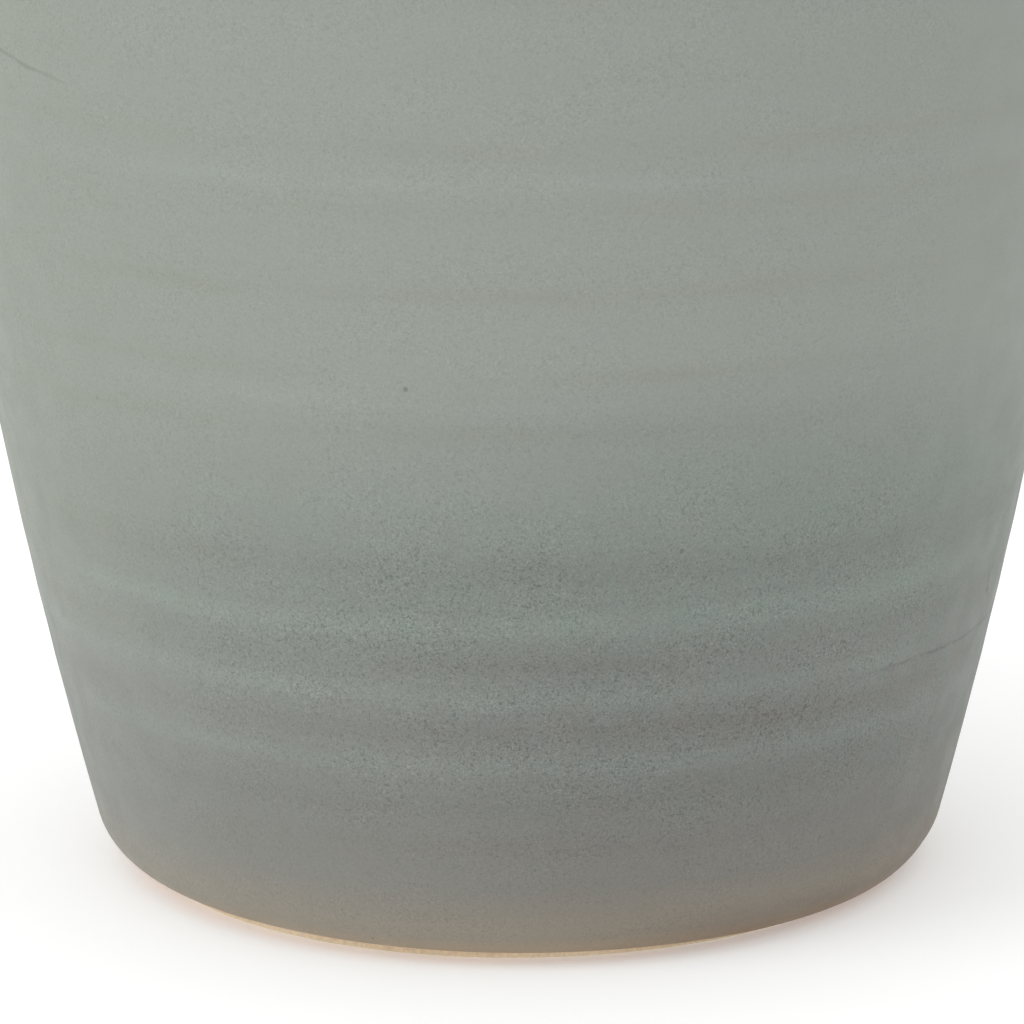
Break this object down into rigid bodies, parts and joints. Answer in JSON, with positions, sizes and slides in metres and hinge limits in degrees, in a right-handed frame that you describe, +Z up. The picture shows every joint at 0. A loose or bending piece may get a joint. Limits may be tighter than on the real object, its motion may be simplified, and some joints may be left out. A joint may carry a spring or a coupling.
{
  "type": "planter pot",
  "caption": "Round tapered terracotta planter with a rounded heel, rolled lip and sage-green satin glaze, with a pull-out drain plug and a lift-out drain screen.",
  "frame": {"origin": "centre of the foot ring's resting plane, on the pot's axis", "axes": "+Z up along the pot's axis, towards the mouth; X and Y are alike but for the plug's grip bar, which lies along X"},
  "size_m": [0.2268, 0.2268, 0.204],
  "materials": {
    "clay": "bare fired buff clay, matt",
    "sage_glaze": "satin-matt reactive glaze, sage green to grey-teal, brown at the foot",
    "liner_glaze": "satin clear liner glaze over buff clay",
    "plug_rubber": "moulded grey silicone, satin",
    "screen_plastic": "moulded black mesh, matt"
  },
  "bodies": {
    "pot": {"clay_body": "clay", "outer_glaze": "sage_glaze", "liner_glaze": "liner_glaze"},
    "plug": {"drain_plug": "plug_rubber"},
    "screen": {"drain_screen": "screen_plastic"}
  },
  "joints": [
    {"name": "plug_pull", "type": "slide", "parent": "pot", "child": "plug", "axis": [0, 0, -1], "range_m": [0, 0.05]},
    {"name": "screen_lift", "type": "slide", "parent": "pot", "child": "screen", "axis": [0, 0, 1], "range_m": [0, 0.25]}
  ]
}
